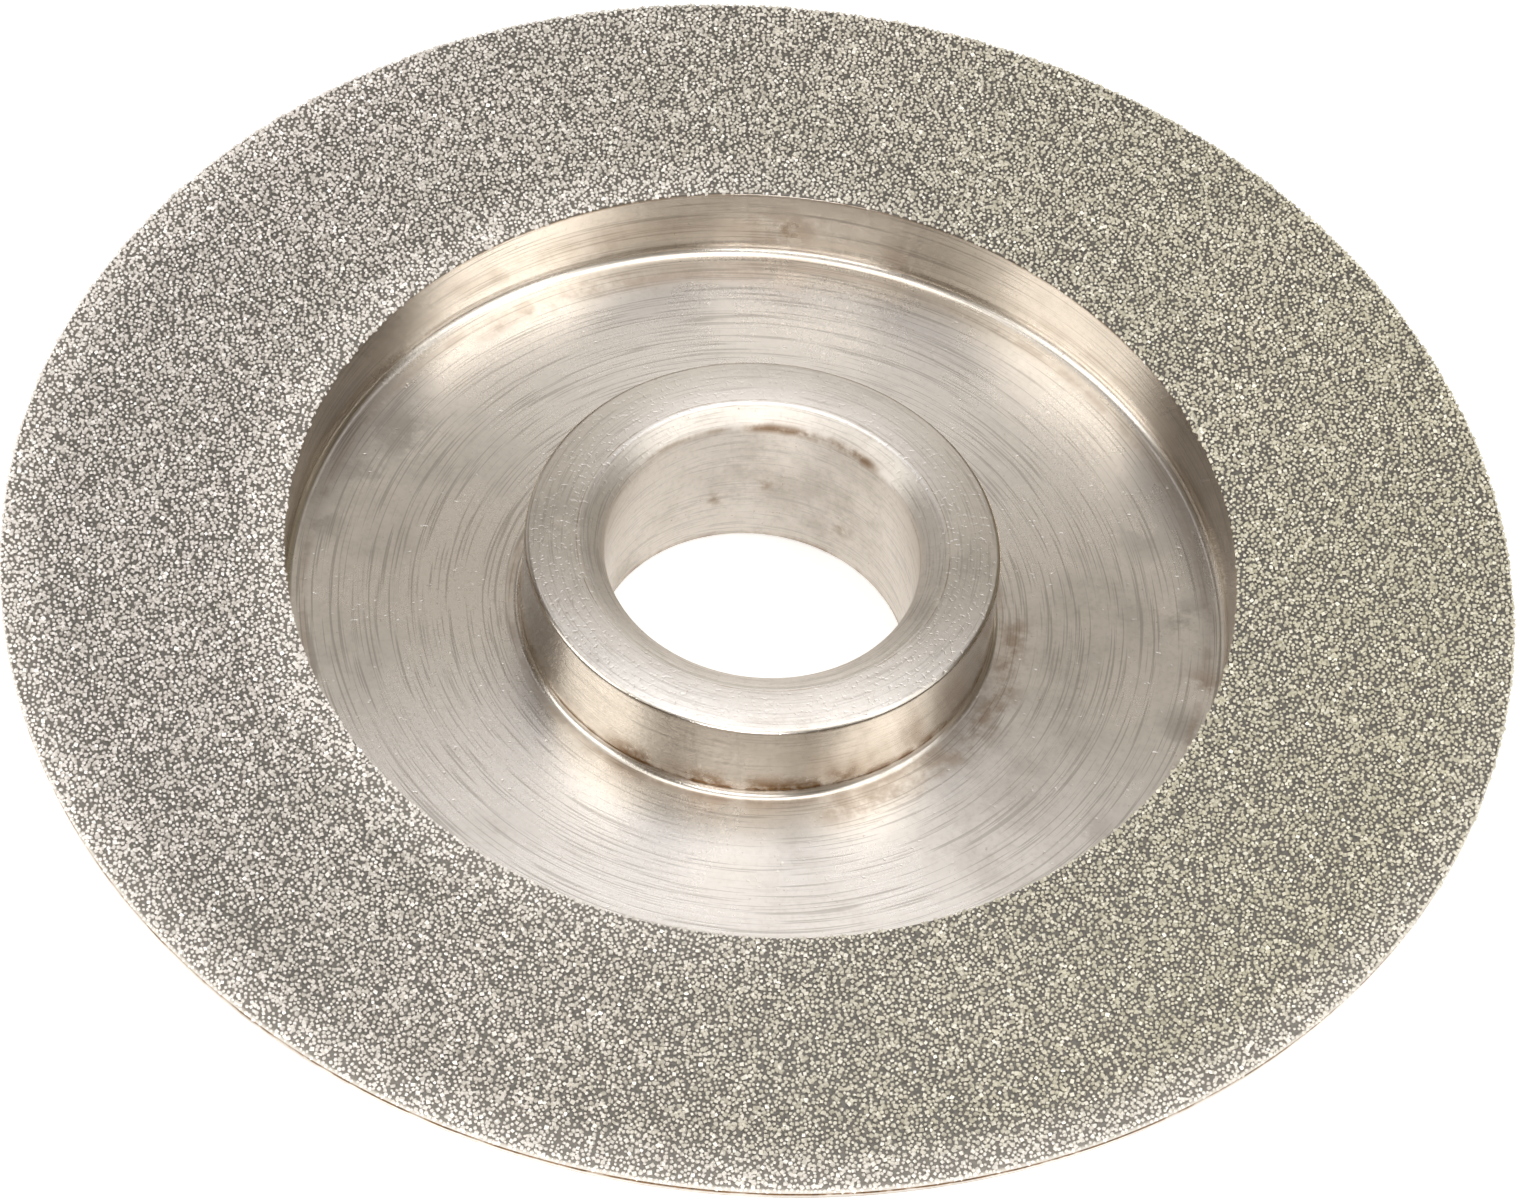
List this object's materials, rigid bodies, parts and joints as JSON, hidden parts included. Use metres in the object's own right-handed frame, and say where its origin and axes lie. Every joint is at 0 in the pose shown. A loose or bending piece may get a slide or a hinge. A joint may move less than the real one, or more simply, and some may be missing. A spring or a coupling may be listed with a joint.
{
  "type": "diamond grinding wheel",
  "caption": "Dish-shaped grinding wheel: a turned steel body with a pressed hub bush and a nickel-bonded layer of diamond grit on its annular face.",
  "frame": {"origin": "centre of the wheel's flat back face, on the axis", "axes": "+Z along the wheel's axis from the back face towards the grinding face; +X and +Y are any two radial directions at right angles, because the wheel is round"},
  "size_m": [0.0762, 0.0762, 0.0093],
  "materials": {
    "body_steel": "turned steel with a thin dull nickel flash, fine concentric tool marks, light brown staining in its corners",
    "bush_steel": "turned steel with a thin nickel flash, satin front face, bright chamfer, faintly stained bore",
    "nickel_bond": "matte electroplated nickel, warm grey, built up around the grains",
    "diamond_grit": "single layer of fine translucent diamond grains, dull nickel between them, sparkling"
  },
  "bodies": {
    "root": {"wheel_body": "body_steel", "hub_bush": "bush_steel", "nickel_bond": "nickel_bond", "diamond_grit": "diamond_grit"}
  },
  "joints": []
}
